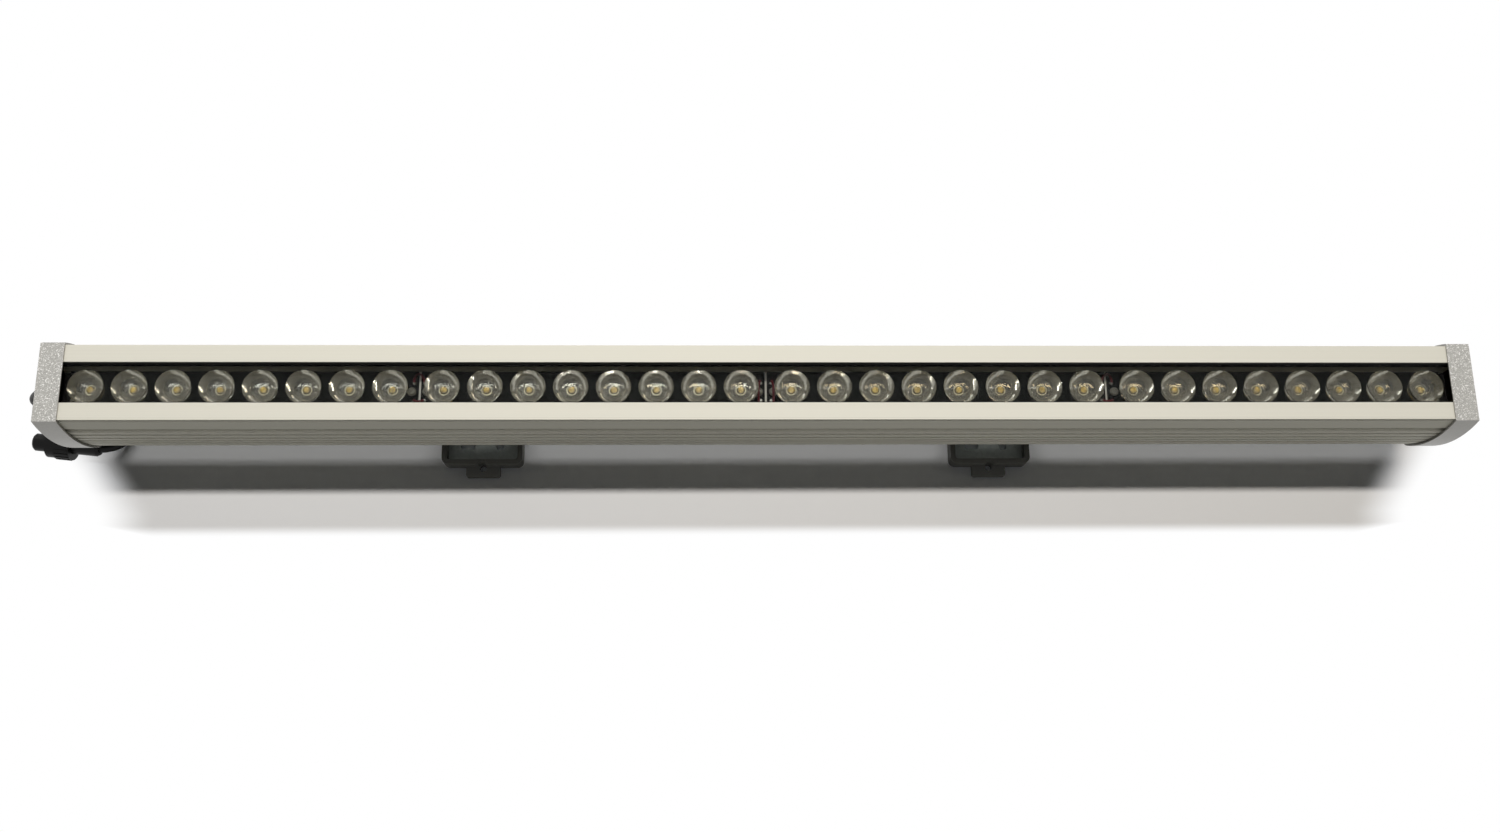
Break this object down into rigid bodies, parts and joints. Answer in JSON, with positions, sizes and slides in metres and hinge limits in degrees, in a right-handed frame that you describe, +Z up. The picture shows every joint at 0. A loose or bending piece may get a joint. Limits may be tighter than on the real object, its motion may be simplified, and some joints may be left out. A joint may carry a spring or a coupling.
{
  "type": "linear light fixture",
  "caption": "Slim linear outdoor wall washer: extruded aluminium body with lensed LEDs under glass, end caps, tilting feet that slide along its back, and a lead with a plug.",
  "frame": {"origin": "on the floor under the middle of the light's length and width, at the level that the feet stand on", "axes": "+X along the light, away from the lead; +Y across it, away from the viewer; +Z up, the way the glass faces"},
  "size_m": [1.0415, 0.087, 0.11],
  "materials": {
    "extrusion_aluminium": "satin anodised",
    "cap_paint": "fine granular silver paint over die casting",
    "gasket_rubber": "matt",
    "zinc_screw": "zinc plated",
    "cover_glass": "clear, toughened",
    "seal_rubber": "matt",
    "liner_plastic": "dark matt",
    "board_resist": "black solder resist",
    "pan_screw": "nickel plated",
    "emitter_plastic": "white moulding",
    "phosphor": "clear silicone over yellow phosphor",
    "lens_acrylic": "clear moulded acrylic",
    "solder": "bright solder",
    "wire_sleeve": "dark red insulation",
    "driver_metal": "plain sheet",
    "gland_plastic": "matt black",
    "seal_ring": "matt",
    "lead_jacket": "smooth black jacket",
    "connector_plastic": "satin black",
    "contact_brass": "plated",
    "shoe_plastic": "satin dark grey",
    "plate_steel": "dark grey paint",
    "bolt_steel": "plain"
  },
  "bodies": {
    "left_foot": {"left_foot_shoe": "shoe_plastic", "left_foot_plate": "plate_steel", "left_pivot_bolts": "bolt_steel", "left_pivot_nuts": "zinc_screw"},
    "left_bracket": {"left_saddle": "plate_steel", "left_saddle_screws": "zinc_screw", "left_slide_nut": "bolt_steel"},
    "lamp": {"housing_extrusion": "extrusion_aluminium", "lower_sides": "extrusion_aluminium", "back_wall": "extrusion_aluminium", "channel_walls": "extrusion_aluminium", "channel_roof": "extrusion_aluminium", "left_end_cap": "cap_paint", "right_end_cap": "cap_paint", "left_end_gasket": "gasket_rubber", "right_end_gasket": "gasket_rubber", "end_cap_screws": "zinc_screw", "glass_cover": "cover_glass", "glazing_seals": "seal_rubber", "channel_liners": "liner_plastic", "led_board_1": "board_resist", "led_board_2": "board_resist", "led_board_3": "board_resist", "led_board_4": "board_resist", "board_screws": "pan_screw", "led_emitters": "emitter_plastic", "led_domes": "phosphor", "beam_lenses_1": "lens_acrylic", "beam_lenses_2": "lens_acrylic", "beam_lenses_3": "lens_acrylic", "beam_lenses_4": "lens_acrylic", "solder_pads": "solder", "jumper_wires": "wire_sleeve", "feed_wires": "wire_sleeve", "driver_case": "driver_metal", "driver_screws": "zinc_screw", "input_cores": "wire_sleeve", "gland_body": "gland_plastic", "gland_locknut": "gland_plastic", "gland_seal": "seal_ring", "gland_nut": "gland_plastic", "input_lead": "lead_jacket", "connector_body": "connector_plastic", "connector_contacts": "contact_brass"},
    "right_bracket": {"right_saddle": "plate_steel", "right_saddle_screws": "zinc_screw", "right_slide_nut": "bolt_steel"},
    "right_foot": {"right_foot_shoe": "shoe_plastic", "right_foot_plate": "plate_steel", "right_pivot_bolts": "bolt_steel", "right_pivot_nuts": "zinc_screw"},
    "coupling_nut": {"coupling_nut": "connector_plastic"}
  },
  "joints": [
    {"name": "left_tilt", "type": "hinge", "parent": "left_foot", "child": "left_bracket", "pos_m": [-0.21, 0, 0.015], "axis": [1, 0, 0], "range_deg": [-35, 35]},
    {"name": "left_slide", "type": "slide", "parent": "left_bracket", "child": "lamp", "axis": [1, 0, 0], "range_m": [-0.175, 0.215]},
    {"name": "right_slide", "type": "slide", "parent": "lamp", "child": "right_bracket", "axis": [1, 0, 0], "range_m": [-0.138, 0.272]},
    {"name": "right_tilt", "type": "hinge", "parent": "right_bracket", "child": "right_foot", "pos_m": [0.173, 0, 0.015], "axis": [1, 0, 0], "range_deg": [-35, 35]},
    {"name": "coupling_nut_turn", "type": "hinge", "parent": "lamp", "child": "coupling_nut", "pos_m": [-0.52055, -0.01975, 0.0116], "axis": [-0.9945, 0.1045, 0], "continuous": true}
  ],
  "couplings": [
    {"joint": "right_tilt", "follows": "left_tilt", "ratio": -1}
  ]
}
